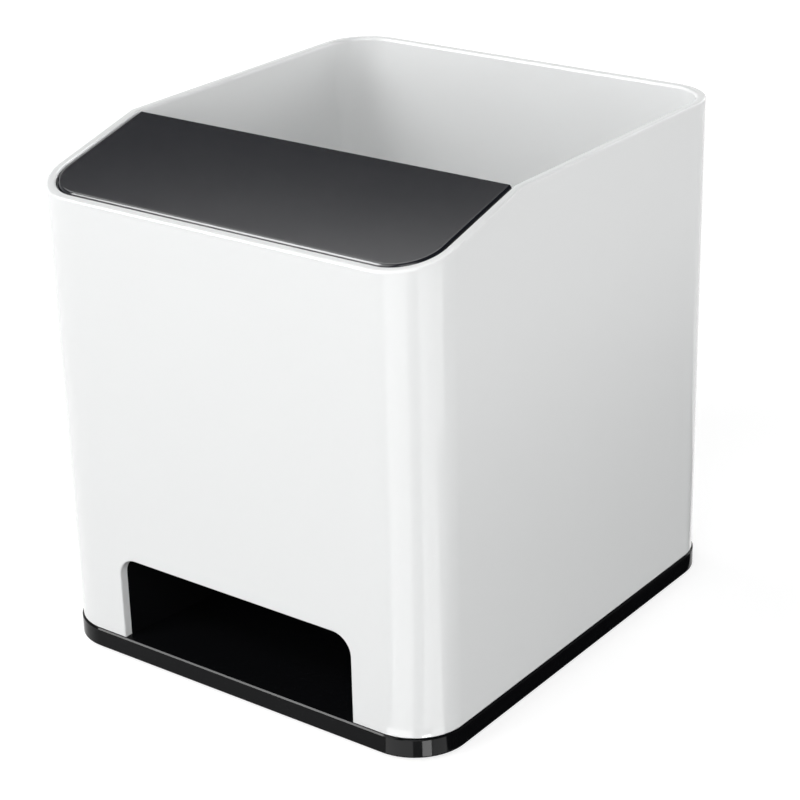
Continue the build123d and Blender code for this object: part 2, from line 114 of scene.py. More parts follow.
class SleeveSettings(bpy.types.PropertyGroup):
    """Sizes of the white sleeve"""
    corner_radius: length("Corner radius", "Radius of the four upright corners, outside", 10.3)
    wall: length("Wall", "Thickness of the sleeve's wall", 1.9)
    slant_run: length("Slant run", "How far the slanted rim reaches back from the front", 30.0)
    slant_drop: length("Slant drop", "How much lower the rim is at the front than at the back", 7.9)
    outer_round: length("Outer rim round", "Round of the rim's outer edge", 0.35)
    inner_round: length("Inner rim round", "Round of the rim's inner edge", 0.6)
    foot_round: length("Foot round", "Round of the sleeve's lower edge", 0.3)
    rebate: length("Cover rebate", "How much thinner the wall is round the cover", 0.1)
    seat_width: length("Seat width", "Width of the ledge that carries the cover", 1.7)
    seat_thickness: length("Seat thickness", "Thickness of the ledge that carries the cover", 1.5)
    seat_length: length("Seat length", "How far the ledge reaches back from the front", 27.35)
    outlet_width: length("Outlet width", "Width of the sound outlet", 55.5)
    outlet_height: length("Outlet height", "Height of the sound outlet above the base", 17.5)
    outlet_corner: length("Outlet corner", "Radius of the outlet's upper corners", 4.0)
    outlet_round: length("Outlet round", "Round of the outlet's outer edge", 0.3)
    rail_width: length("Rail width", "Thickness of the rails that hold the divider", 1.4)
    rail_reach: length("Rail reach", "How far a rail stands out from the wall", 1.6)
    rail_root: length("Rail root", "How deep a rail is sunk into the wall", 0.9)
    rail_gap: length("Rail gap", "Gap between a rail and the divider", 0.15)
    front_rail_foot: length("Front rail foot", "Height of the front rails' lower end", 32.45)
    rear_rail_foot: length("Rear rail foot", "Height of the rear rails' lower end", 8.45)
    boss_diameter: length("Boss diameter", "Diameter of a screw boss", 7.0)
    boss_hole: length("Boss hole", "Diameter of the hole in a screw boss", 2.6)
    boss_height: length("Boss height", "Height of a screw boss", 16.0)
    boss_foot: length("Boss foot", "Height of a boss's lower end over the ground", 9.0)
    boss_end: length("Boss end", "Thickness that closes the top of a boss's hole", 1.2)
    gusset_thickness: length("Gusset thickness", "Thickness of a boss's gussets", 1.3)
    gusset_reach: length("Gusset reach", "How far a gusset reaches from the boss's middle", 6.8)
    corner_steps: bpy.props.IntProperty(
        name="Corner steps", description="How many faces go round an upright corner", default=32, min=4,
    )


class FittingSettings(bpy.types.PropertyGroup):
    """Sizes of the cover, the cradle, the pad, the divider and the base"""
    cover_thickness: length("Cover thickness", "Thickness of the slanted cover's plate", 2.0)
    cover_round: length("Cover round", "Small round on the slanted cover's edges", 0.18)
    cradle_round: length("Cradle round", "Small round on the cradle's edges", 0.15)
    pad_round: length("Pad round", "Round of the rest pad's edges", 0.35)
    divider_round: length("Divider round", "Small round on the divider's edges", 0.15)
    base_round: length("Base round", "Small round on the base's edges", 0.12)


class ScrewSettings(bpy.types.PropertyGroup):
    """Sizes of the screws"""
    head_diameter: length("Head diameter", "Diameter of a screw's head", 5.2)
    head_height: length("Head height", "Height of a screw's head", 1.6)
    head_round: length("Head round", "Round of the head's outer edge", 0.5)
    shank_diameter: length("Shank diameter", "Diameter over the thread", 2.4)
    thread_depth: length("Thread depth", "Depth of the thread", 0.28)
    thread_pitch: length("Thread pitch", "Distance from one turn of the thread to the next", 1.06)
    cross_width: length("Cross width", "Width of the cross recess's arms", 0.8)
    cross_length: length("Cross length", "Length of the cross recess's arms, tip to tip", 3.4)
    cross_depth: length("Cross depth", "Depth of the cross recess", 0.9)
    thread_gap: length("Thread gap", "Distance from the head to the thread's start", 0.7)
    tip_length: length("Tip length", "Length of the tapered tip, where the thread has ended", 1.2)


class FootSettings(bpy.types.PropertyGroup):
    """Sizes of the four feet"""
    edge_round: length("Edge round", "Round of a foot's lower edge", 0.35)
    ring_depth: length("Ring depth", "Depth of the grip grooves under a foot", 0.2)
    ring_spacing: length("Ring spacing", "Distance from one grip groove to the next", 1.4)


class FinishSettings(bpy.types.PropertyGroup):
    """Colours of the finishes"""
    white: colour("White", "Colour of the sleeve and the divider", (0.86, 0.87, 0.87))
    charcoal: colour("Charcoal", "Colour of the slanted cover", (0.0108, 0.0115, 0.0152))
    black: colour("Black", "Colour of the glossy base", (0.004, 0.0042, 0.0048))
    satin: colour("Satin black", "Colour of the cradle", (0.02, 0.02, 0.022))
    rubber: colour("Rubber", "Colour of the pad and the feet", (0.025, 0.025, 0.026))
    steel: colour("Steel", "Colour of the screws", (0.62, 0.62, 0.63))


class StageSettings(bpy.types.PropertyGroup):
    """Light of the studio"""
    horizon: strength("Horizon", "Brightness of the studio's walls", 0.95)
    ceiling: strength("Ceiling", "Brightness of the studio overhead", 0.0)
    floor_glow: strength("Floor glow", "What the floor's own white adds where it is seen", 0.74)
    key: strength("Key lamp", "Brightness of the large lamp at the front right", 4.4)
    high: strength("High lamp", "Brightness of the high lamp at the front left", 4.9)
    right: strength("Right lamp", "Brightness of the lamp at the right", 3.1)
    left: strength("Left lamp", "Brightness of the lamp at the left", 3.0)
    over: strength("Overhead lamp", "Brightness of the lamp above the back left corner", 0.8)
    back: strength("Back lamp", "Brightness of the lamp behind", 2.8)
    edge: strength("Edge lamp", "Brightness of the small lamp that draws the edges", 6.0)
    card: strength("Cards", "Brightness of the cards that the front right corner mirrors", 2.4)
    sky: strength("Sky card", "Brightness of the round card overhead that the cover mirrors", 4.1)
    glint: strength("Glint card", "Brightness of the round card that the base's edge mirrors", 26.0)


# Meshes

def new_object(name, data):
    """An object in the scene for a mesh, a lamp or a camera."""
    made = bpy.data.objects.new(name, data)
    bpy.context.scene.collection.objects.link(made)
    return made


def mesh_from(work, name):
    """A mesh from a passing work mesh, which goes."""
    mesh = bpy.data.meshes.new(name)
    work.to_mesh(mesh)
    work.free()
    return mesh


def mesh_of(name, points, faces):
    """A mesh from points and faces, with its faces pointing outwards."""
    work = bmesh.new()
    corners = [work.verts.new(point) for point in points]
    for face in faces:
        work.faces.new([corners[number] for number in face])
    bmesh.ops.recalc_face_normals(work, faces=work.faces)
    return mesh_from(work, name)


def link_piece(name, mesh, material, slot, *nodes):
    """An object for a finished mesh, which rides on the frame in place of its solids."""
    piece = new_object(name, mesh)
    mesh.name = name
    mesh.materials.clear()
    mesh.materials.append(material)
    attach(piece, "root")
    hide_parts(*nodes)


def merged_copy(node_name):
    """A solid's mesh with its loose triangles merged, and joined where they lie level."""
    work = bmesh.new()
    work.from_mesh(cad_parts[node_name].data)
    bmesh.ops.remove_doubles(work, verts=work.verts, dist=MERGE)
    bmesh.ops.dissolve_limit(work, angle_limit=LEVEL, verts=work.verts, edges=work.edges)
    mesh = bpy.data.meshes.new(node_name)
    rows = [[corner.index for corner in face.verts] for face in work.faces]
    mesh.from_pydata([corner.co for corner in work.verts], [], rows)
    work.free()
    return mesh


def holder_of(mesh):
    """A passing object that carries a mesh through its modifiers."""
    return new_object("holder", mesh)


def taken_from(holder):
    """The plain mesh that a passing object's modifiers give. The object goes."""
    bpy.context.view_layer.update()
    graph = bpy.context.evaluated_depsgraph_get()
    mesh = bpy.data.meshes.new_from_object(holder.evaluated_get(graph))
    holder.modifiers.clear()
    bpy.data.objects.remove(holder)
    return mesh


def changed(mesh, kind, **settings):
    """The mesh with one modifier applied."""
    holder = holder_of(mesh)
    modifier = holder.modifiers.new(kind.lower(), kind)
    for setting, value in settings.items():
        setattr(modifier, setting, value)
    return taken_from(holder)


def joined_to(mesh, operation, *tools):
    """The mesh with closed tool meshes added to it or taken from it."""
    holder = holder_of(mesh)
    tool_holders = [holder_of(tool) for tool in tools]
    for tool_holder in tool_holders:
        modifier = holder.modifiers.new("boolean", "BOOLEAN")
        modifier.operation = operation
        modifier.solver = "EXACT"
        modifier.object = tool_holder
    result = taken_from(holder)
    for tool_holder in tool_holders:
        bpy.data.objects.remove(tool_holder)
    return result


def shaded(mesh):
    """Smooth bends and crisp edges, with the large flats setting the shading."""
    mesh.shade_smooth()
    mesh.set_sharp_from_angle(angle=SHARP)
    return changed(mesh, "WEIGHTED_NORMAL", keep_sharp=True, weight=50)


def rounded(mesh, width, segments=2):
    """Every sharp edge rounded by a small width, then shaded."""
    mesh.shade_smooth()
    return shaded(changed(
        mesh, "BEVEL", width=width, segments=segments, limit_method="ANGLE", angle_limit=SHARP,
        use_clamp_overlap=True, miter_outer="MITER_ARC", harden_normals=False,
    ))


def skinned(name, rings):
    """A closed mesh over rings of as many points each, with its two ends capped."""
    count = len(rings[0])
    last = (len(rings) - 1) * count
    faces = [list(range(count)), list(range(last, last + count))]
    for start in range(0, last, count):
        for number in range(count):
            after = (number + 1) % count
            faces.append([start + number, start + after, start + count + after, start + count + number])
    return mesh_of(name, [point for ring in rings for point in ring], faces)


def layer(outline, low, high):
    """A closed solid over an outline seen from above, between two heights that follow y."""
    return skinned("layer", [[(x, y, level(y)) for x, y in outline] for level in (low, high)])


# Node trees

def node(tree, kind, values=None, **settings):
    """A new node with its settings, and its sockets by name or number, linked or set."""
    made = tree.nodes.new(kind)
    for setting, value in settings.items():
        setattr(made, setting, value)
    for socket, value in (values or {}).items():
        if isinstance(value, bpy.types.NodeSocket):
            tree.links.new(value, made.inputs[socket])
        else:
            made.inputs[socket].default_value = value
    return made


def new_tree(name, **inputs):
    """A Geometry Nodes tree with a named input for each size, and its input sockets."""
    tree = bpy.data.node_groups.new(name, "GeometryNodeTree")
    kinds = {"size": "NodeSocketFloat", "count": "NodeSocketInt", "place": "NodeSocketVector"}
    tree.interface.new_socket("Geometry", in_out="INPUT", socket_type="NodeSocketGeometry")
    for label, kind in inputs.items():
        tree.interface.new_socket(label.replace("_", " "), in_out="INPUT", socket_type=kinds[kind])
    tree.interface.new_socket("Material", in_out="INPUT", socket_type="NodeSocketMaterial")
    tree.interface.new_socket("Geometry", in_out="OUTPUT", socket_type="NodeSocketGeometry")
    return tree, tree.nodes.new("NodeGroupInput").outputs


def end_tree(tree, geometry, material):
    """Ends a tree with plain, closed geometry in its material."""
    real = node(tree, "GeometryNodeRealizeInstances", {"Geometry": geometry})
    whole = node(tree, "GeometryNodeMergeByDistance", {"Geometry": real.outputs[0], "Distance": MERGE})
    finished = node(tree, "GeometryNodeSetMaterial", {"Geometry": whole.outputs[0], "Material": material})
    output = tree.nodes.new("NodeGroupOutput")
    tree.links.new(finished.outputs[0], output.inputs[0])
    return tree


def math_node(tree, operation, *values):
    """The output of a Math node on sockets or numbers."""
    return node(tree, "ShaderNodeMath", dict(enumerate(values)), operation=operation).outputs[0]


def vector(tree, x=0.0, y=0.0, z=0.0):
    """The output of a Combine XYZ node on sockets or numbers."""
    return node(tree, "ShaderNodeCombineXYZ", {0: x, 1: y, 2: z}).outputs[0]


def moved(tree, geometry, shift):
    """Geometry moved by a vector."""
    return node(tree, "GeometryNodeTransform", {"Geometry": geometry, "Translation": shift}).outputs[0]


def combined(tree, operation, body, *parts):
    """The output of an exact Boolean node, which adds parts to a body or cuts them from it."""
    made = node(tree, "GeometryNodeMeshBoolean", operation=operation, solver="EXACT")
    tree.links.new(body, made.inputs["Mesh 2" if operation == "UNION" else "Mesh 1"])
    for part in parts:
        tree.links.new(part, made.inputs["Mesh 2"])
    return made.outputs[0]


def four_corners(tree, inputs):
    """The corners of a field, as wide as Across and as deep as Along."""
    return node(tree, "GeometryNodeMeshGrid", {
        "Size X": inputs["Across"], "Size Y": inputs["Along"], "Vertices X": 2, "Vertices Y": 2,
    }).outputs[0]


def grown(tree, host, material, **values):
    """The mesh that a tree makes from its host mesh, with its inputs set before it runs."""
    holder = holder_of(host)
    modifier = holder.modifiers.new(tree.name, "NODES")
    modifier.node_group = tree
    values["Material"] = material
    for socket in tree.interface.items_tree:
        label = socket.name.replace(" ", "_")
        if socket.item_type == "SOCKET" and socket.in_out == "INPUT" and label in values:
            modifier[socket.identifier] = values[label]
    return outwards(taken_from(holder))


def outwards(mesh):
    """The mesh with its faces pointing outwards."""
    work = bmesh.new()
    work.from_mesh(mesh)
    bmesh.ops.recalc_face_normals(work, faces=work.faces)
    work.to_mesh(mesh)
    work.free()
    return mesh


def open_line(points):
    """A host mesh of one line of edges."""
    mesh = bpy.data.meshes.new("line")
    mesh.from_pydata(points, [(number, number + 1) for number in range(len(points) - 1)], [])
    return mesh


# Finishes

# How fine each noise pattern is, per metre, and the span that most of its values fill
DRIFT_SCALE = 28.0
BLOOM_SCALE = 90.0
PATCH_SCALE = 700.0
STREAK_SCALE = 6000.0
NOISE_SPAN = (0.3, 0.7)

# The plating: how dark its patches are, its least and most roughness, and its streaks along the wire
PATCH_SHADE = 0.8
PLATED_ROUGHNESS = (0.24, 0.42)
STREAK_STRETCH = (1.0, 1.0, 0.15)
STREAK_DEPTH = 0.006 * MM

# The numbers of a Mix node's colour sockets, and of its colour output
MIX_FIRST, MIX_SECOND, MIX_RESULT = 6, 7, 2


def new_material(name):
    """A material and its node tree."""
    material = bpy.data.materials.new(name)
    material.use_nodes = True
    return material, material.node_tree


def noise(tree, place, scale, detail, **values):
    """The output of a noise pattern."""
    values = {"Vector": place, "Scale": scale, "Detail": detail, **values}
    return node(tree, "ShaderNodeTexNoise", values).outputs["Fac"]


def set_surface(tree, tone, colours, gloss, roughness, relief, depth):
    """The shader, with its colour and roughness between two ends by a pattern each, and its bump."""
    shader = tree.nodes["Principled BSDF"]
    mixed = node(tree, "ShaderNodeMix", {
        "Factor": tone, MIX_FIRST: (*colours[0], 1.0), MIX_SECOND: (*colours[1], 1.0),
    }, data_type="RGBA")
    rough = node(tree, "ShaderNodeMapRange", {
        "Value": gloss, "From Min": NOISE_SPAN[0], "From Max": NOISE_SPAN[1],
        "To Min": roughness[0], "To Max": roughness[1],
    })
    bump = node(tree, "ShaderNodeBump", {"Height": relief, "Distance": depth})
    tree.links.new(mixed.outputs[MIX_RESULT], shader.inputs["Base Color"])
    tree.links.new(rough.outputs["Result"], shader.inputs["Roughness"])
    tree.links.new(bump.outputs["Normal"], shader.inputs["Normal"])
    return shader


def moulded(name, colour_name, *, shade, roughness, spread, grain, depth, **shader_values):
    """Moulded plastic or rubber: faint drifts of tone and gloss, and the mould's grain as bump."""
    material, tree = new_material(name)
    middle = getattr(bpy.context.scene.pen_holder_finishes, colour_name)
    darker = [part * (1 - shade) for part in middle]
    lighter = [min(part * (1 + shade), 1.0) for part in middle]
    place = node(tree, "ShaderNodeTexCoord").outputs["Object"]
    shader = set_surface(
        tree, noise(tree, place, DRIFT_SCALE, 2.0), (darker, lighter),
        noise(tree, place, BLOOM_SCALE, 3.0), (roughness - spread, roughness + spread),
        noise(tree, place, 1 / grain, 2.0, Roughness=0.55), depth,
    )
    for socket, value in shader_values.items():
        shader.inputs[socket.replace("_", " ")].default_value = value
    return material


def plated_steel(name, colour_value):
    """Zinc-plated steel: patches of tone from the bath, and fine streaks from the wire."""
    material, tree = new_material(name)
    place = node(tree, "ShaderNodeTexCoord").outputs["Object"]
    stretched = node(tree, "ShaderNodeMapping", {"Vector": place, "Scale": STREAK_STRETCH})
    streaks = noise(tree, stretched.outputs[0], STREAK_SCALE, 2.0)
    shader = set_surface(
        tree, noise(tree, place, PATCH_SCALE, 3.0),
        ([part * PATCH_SHADE for part in colour_value], colour_value),
        streaks, PLATED_ROUGHNESS, streaks, STREAK_DEPTH,
    )
    shader.inputs["Metallic"].default_value = 1.0
    return material


# Sleeve

def loop_with_corners(half_width, half_depth, kink):
    """The host of the sleeve's outline: four corners that turn, and a station where the slant ends."""
    rows = (
        (half_width, -half_depth, 1), (half_width, kink, 0), (half_width, half_depth, 1),
        (-half_width, half_depth, 1), (-half_width, kink, 0), (-half_width, -half_depth, 1),
    )
    mesh = bpy.data.meshes.new("outline")
    edges = [(number, (number + 1) % len(rows)) for number in range(len(rows))]
    mesh.from_pydata([(x, y, 0.0) for x, y, turns in rows], edges, [])
    mesh.attributes.new("turns", "FLOAT", "POINT").data.foreach_set("value", [row[2] for row in rows])
    return mesh


def wall_tree():
    """A wall swept round an outline with turned corners, its rim dropping towards the front."""
    tree, inputs = new_tree(
        "swept wall", Corner_radius="size", Corner_steps="count", Wall="size", Foot="size", Rim="size",
        Outer_round="size", Inner_round="size", Foot_round="size", Slope="size", Kink="size",
    )
    path = node(tree, "GeometryNodeMeshToCurve", {"Mesh": inputs["Geometry"]})
    turns = node(tree, "GeometryNodeInputNamedAttribute", {"Name": "turns"}, data_type="FLOAT")
    radius = math_node(tree, "MULTIPLY", turns.outputs[0], inputs["Corner radius"])
    path = node(tree, "GeometryNodeFilletCurve", {
        "Curve": path.outputs[0], "Radius": radius, "Count": inputs["Corner steps"],
    }, mode="POLY")
    path = node(tree, "GeometryNodeSetCurveNormal", {"Curve": path.outputs[0]}, mode="Z_UP")

    # The wall's section: its X points outwards and its Y down
    top = math_node(tree, "MULTIPLY", inputs["Rim"], -1.0)
    bottom = math_node(tree, "MULTIPLY", inputs["Foot"], -1.0)
    inside = math_node(tree, "MULTIPLY", inputs["Wall"], -1.0)
    corners = [
        vector(tree, x, y) for x, y in ((0.0, bottom), (0.0, top), (inside, top), (inside, bottom))
    ]
    section = node(tree, "GeometryNodeCurvePrimitiveQuadrilateral", {
        "Point %d" % (number + 1): corner for number, corner in enumerate(corners)
    }, mode="POINTS")
    index = node(tree, "GeometryNodeInputIndex").outputs[0]
    rounds = node(tree, "GeometryNodeIndexSwitch", data_type="FLOAT")
    rounds.index_switch_items.new()
    tree.links.new(index, rounds.inputs["Index"])
    for number, label in enumerate(("Foot round", "Outer round", "Inner round")):
        tree.links.new(inputs[label], rounds.inputs[number + 1])
    section = node(tree, "GeometryNodeFilletCurve", {
        "Curve": section.outputs[0], "Radius": rounds.outputs[0], "Count": ROUND_STEPS,
    }, mode="POLY")
    wall = node(tree, "GeometryNodeCurveToMesh", {
        "Curve": path.outputs[0], "Profile Curve": section.outputs[0],
    })

    # The rim drops in front of the kink
    place = node(tree, "GeometryNodeInputPosition").outputs[0]
    parts = node(tree, "ShaderNodeSeparateXYZ", {0: place})
    ahead = math_node(tree, "MAXIMUM", math_node(tree, "SUBTRACT", inputs["Kink"], parts.outputs[1]), 0.0)
    drop = math_node(tree, "MULTIPLY", math_node(tree, "MULTIPLY", ahead, inputs["Slope"]), -1.0)
    middle = math_node(tree, "MULTIPLY", inputs["Rim"], 0.5)
    upper = math_node(tree, "GREATER_THAN", parts.outputs[2], middle)
    dropped = node(tree, "GeometryNodeSetPosition", {
        "Geometry": wall.outputs[0], "Selection": upper, "Offset": vector(tree, z=drop),
    })
    return end_tree(tree, dropped.outputs[0], inputs["Material"])


def round_end(half_width, end, inwards, radius, steps):
    """Points round the two corners at an outline's end, from right to left."""
    points = []
    for side, start in ((1, 0.0), (-1, math.pi / 2)):
        for step in range(steps + 1):
            angle = start + math.pi / 2 * step / steps
            points.append((
                side * (half_width - radius) + radius * math.cos(angle),
                end + inwards * (radius - radius * math.sin(angle)),
            ))
    return points


def front_outline(sizes, inset, end):
    """The outline's front from end to end, set in by a width: down the right side and round the front."""
    half_width = SLEEVE_HIGH.x - inset
    corners = round_end(
        half_width, SLEEVE_LOW.y + inset, 1, sizes.corner_radius - inset, COVER_CORNER_STEPS,
    )
    return [(half_width, end)] + corners + [(-half_width, end)]


def boss_tree():
    """Screw bosses with two gussets each, one turned into each corner, with their screw holes."""
    tree, inputs = new_tree(
        "screw bosses", Boss_diameter="size", Hole_diameter="size", Height="size", End="size",
        Gusset="size", Reach="size", Foot="size", Across="size", Along="size",
    )
    boss, drill = (
        node(tree, "GeometryNodeMeshCylinder", {
            "Vertices": steps, "Radius": math_node(tree, "MULTIPLY", inputs[diameter], 0.5),
            "Depth": inputs["Height"],
        }).outputs[0]
        for steps, diameter in ((BOSS_STEPS, "Boss diameter"), (HOLE_STEPS, "Hole diameter"))
    )
    shifted = math_node(tree, "MULTIPLY", inputs["Reach"], 0.5)
    gussets = []
    for width, depth, shift in (
        (inputs["Reach"], inputs["Gusset"], vector(tree, x=shifted)),
        (inputs["Gusset"], inputs["Reach"], vector(tree, y=shifted)),
    ):
        size = vector(tree, width, depth, inputs["Height"])
        plate = node(tree, "GeometryNodeMeshCube", {"Size": size}).outputs[0]
        gussets.append(moved(tree, plate, shift))
    whole = combined(tree, "UNION", boss, *gussets)
    lowered = math_node(tree, "MULTIPLY", inputs["End"], -1.0)
    drilled = combined(tree, "DIFFERENCE", whole, moved(tree, drill, vector(tree, z=lowered)))

    # Each boss is turned by a whole number of quarter turns, so its gussets point into its corner
    place = node(tree, "GeometryNodeInputPosition").outputs[0]
    parts = node(tree, "ShaderNodeSeparateXYZ", {0: place})
    across, along = (math_node(tree, "SIGN", parts.outputs[number]) for number in range(2))
    turn = math_node(tree, "SUBTRACT", math_node(tree, "ARCTAN2", along, across), math.pi / 4)
    bosses = node(tree, "GeometryNodeInstanceOnPoints", {
        "Points": four_corners(tree, inputs), "Instance": drilled, "Rotation": vector(tree, z=turn),
    })
    raised = math_node(tree, "MULTIPLY", inputs["Height"], 0.5)
    lift = vector(tree, z=math_node(tree, "ADD", inputs["Foot"], raised))
    return end_tree(tree, moved(tree, bosses.outputs[0], lift), inputs["Material"])


def outlet_tool(sizes):
    """The space of the sound outlet, which flares at the front face so the outlet's edge is round."""
    foot = SLEEVE_LOW.z - OVERRUN
    radius = sizes.outlet_round
    depths = [(SLEEVE_LOW.y - OVERRUN, radius)]
    for step in range(ROUND_STEPS + 1):
        angle = math.pi / 2 * step / ROUND_STEPS
        depths.append((SLEEVE_LOW.y + radius * (1 - math.cos(angle)), radius * (1 - math.sin(angle))))
    depths.append((SLEEVE_LOW.y + 2 * sizes.wall, 0.0))
    rings = []
    for depth, flare in depths:
        half_width = sizes.outlet_width / 2 + flare
        top = SLEEVE_LOW.z + sizes.outlet_height + flare
        corners = round_end(half_width, top, -1, sizes.outlet_corner + flare, OUTLET_CORNER_STEPS)
        outline = [(half_width, foot)] + corners + [(-half_width, foot)]
        rings.append([(x, depth, z) for x, z in outline])
    return skinned("outlet", rings)


class MakeSleeve(bpy.types.Operator):
    """Make the white sleeve: a swept wall with a slanted rim, the cover's seat, bosses and rails"""
    bl_idname = "pen_holder.make_sleeve"
    bl_label = "Make sleeve"

    def execute(self, context):
        sizes = context.scene.pen_holder_sleeve
        white = gloss_white()
        kink = SLEEVE_LOW.y + sizes.slant_run
        slope = sizes.slant_drop / sizes.slant_run
        upright = math.sqrt(1 + slope ** 2)

        def under_rim(depth):
            return lambda y: SLEEVE_HIGH.z - (kink - y) * slope - depth * upright

        host = loop_with_corners(SLEEVE_HIGH.x, SLEEVE_HIGH.y, kink)
        mesh = grown(
            wall_tree(), host, white, Corner_radius=sizes.corner_radius,
            Corner_steps=sizes.corner_steps, Wall=sizes.wall, Foot=SLEEVE_LOW.z, Rim=SLEEVE_HIGH.z,
            Outer_round=sizes.outer_round, Inner_round=sizes.inner_round, Foot_round=sizes.foot_round,
            Slope=slope, Kink=kink,
        )

        # The space that the cover drops into, and the ledge that it lies on
        thickness = context.scene.pen_holder_fittings.cover_thickness
        space = layer(
            front_outline(sizes, sizes.wall - sizes.rebate, kink),
            under_rim(thickness), under_rim(-OVERRUN),
        )
        seat_end = SLEEVE_LOW.y + sizes.seat_length
        ledge = front_outline(sizes, sizes.wall / 2, seat_end)
        ledge += front_outline(sizes, sizes.wall + sizes.seat_width, seat_end)[::-1]
        seat = layer(ledge, under_rim(thickness + sizes.seat_thickness), under_rim(thickness / 2))
        mesh = joined_to(mesh, "UNION", seat)
        mesh = joined_to(mesh, "DIFFERENCE", space)

        # Rails on both sides of the divider
        divider_low, divider_high = box_of("slot_divider")
        inner = SLEEVE_HIGH.x - sizes.wall
        rails = []
        for side in (-1, 1):
            left, right = sorted((side * (inner - sizes.rail_reach), side * (inner + sizes.rail_root)))
            for front, foot in (
                (divider_low.y - sizes.rail_gap - sizes.rail_width, sizes.front_rail_foot),
                (divider_high.y + sizes.rail_gap, sizes.rear_rail_foot),
            ):
                back = front + sizes.rail_width
                outline = [(left, front), (right, front), (right, back), (left, back)]
                rails.append(layer(outline, lambda y: foot, lambda y: divider_high.z))

        # The bosses stand over the feet, and their tree needs nothing of its host mesh
        corner = foot_centre("foot_rear_right")
        bosses = grown(
            boss_tree(), open_line([(0, 0, 0), (0, 0, MM)]), white, Boss_diameter=sizes.boss_diameter,
            Hole_diameter=sizes.boss_hole, Height=sizes.boss_height, End=sizes.boss_end,
            Gusset=sizes.gusset_thickness, Reach=sizes.gusset_reach, Foot=sizes.boss_foot,
            Across=2 * corner.x, Along=2 * corner.y,
        )
        mesh = joined_to(mesh, "UNION", bosses, *rails)
        mesh = joined_to(mesh, "DIFFERENCE", outlet_tool(sizes))
        link_piece("sleeve", shaded(mesh), white, "shell_white", "outer_shell")
        return {"FINISHED"}


# Pieces that keep their solid's form, with every edge rounded

def dressed(solid, name, round_name, material, slot, segments=2):
    """Puts a rounded copy in a solid's place, and gives the operator's result."""
    width = getattr(bpy.context.scene.pen_holder_fittings, round_name)
    link_piece(name, rounded(merged_copy(solid), width, segments), material, slot, solid)
    return {"FINISHED"}


class MakeCover(bpy.types.Operator):
    """Make the slanted charcoal cover"""
    bl_idname = "pen_holder.make_cover"
    bl_label = "Make slanted cover"

    def execute(self, context):
        return dressed("front_cover", "slanted_cover", "cover_round", satin_charcoal(), "cover_charcoal")


class MakeCradle(bpy.types.Operator):
    """Make the phone's cradle with its duct roof"""
    bl_idname = "pen_holder.make_cradle"
    bl_label = "Make cradle"

    def execute(self, context):
        return dressed("phone_cradle", "cradle", "cradle_round", satin_black(), "cradle_black")


class MakeRestPad(bpy.types.Operator):
    """Make the soft pad that the phone stands on"""
    bl_idname = "pen_holder.make_rest_pad"
    bl_label = "Make rest pad"

    def execute(self, context):
        rubber = soft_rubber("pad rubber")
        return dressed("phone_rest_pad", "rest_pad", "pad_round", rubber, "pad_rubber", segments=3)


class MakeDivider(bpy.types.Operator):
    """Make the divider between the phone's slot and the pen well"""
    bl_idname = "pen_holder.make_divider"
    bl_label = "Make divider"

    def execute(self, context):
        return dressed("slot_divider", "divider", "divider_round", satin_white(), "divider_white")


class MakeBase(bpy.types.Operator):
    """Make the glossy black base with the sound duct"""
    bl_idname = "pen_holder.make_base"
    bl_label = "Make base"

    def execute(self, context):
        return dressed("base_tray", "base", "base_round", gloss_black(), "base_black")


# Screws and feet

# The thread is a triangle wound round the core: the radius round it as a share of the thread's depth
RIDGE_SHARE = 0.75

# The radius of a screw's tip as a share of its core's
TIP_SHARE = 1 / 3

# Places nearer than this take one screw
SAME_PLACE = 1 * MM


def turned_outline(rows):
    """The host of a turned form: its half outline from axis to axis, as radius, height and round."""
    mesh = open_line([(radius, -height, 0.0) for radius, height, bend in rows])
    mesh.attributes.new("bends", "FLOAT", "POINT").data.foreach_set("value", [row[2] for row in rows])
    return mesh


def turned(tree, outline, steps):
    """Nodes that turn a half outline into a closed form round the upright axis."""
    # The outline rides round a ring, set back by the ring's radius, so that its end stays on the axis
    ring_radius = 10 * MM
    bends = node(tree, "GeometryNodeInputNamedAttribute", {"Name": "bends"}, data_type="FLOAT")
    section = node(tree, "GeometryNodeMeshToCurve", {"Mesh": outline})
    section = node(tree, "GeometryNodeFilletCurve", {
        "Curve": section.outputs[0], "Radius": bends.outputs[0], "Count": TURNED_ROUND_STEPS,
    }, mode="POLY")
    section = moved(tree, section.outputs[0], (-ring_radius, 0.0, 0.0))
    ring = node(tree, "GeometryNodeCurvePrimitiveCircle", {"Radius": ring_radius, "Resolution": steps})
    ring = node(tree, "GeometryNodeSetCurveNormal", {"Curve": ring.outputs[0]}, mode="Z_UP")
    body = node(tree, "GeometryNodeCurveToMesh", {"Curve": ring.outputs[0], "Profile Curve": section})
    return node(tree, "GeometryNodeMergeByDistance", {
        "Geometry": body.outputs[0], "Distance": MERGE,
    }).outputs[0]


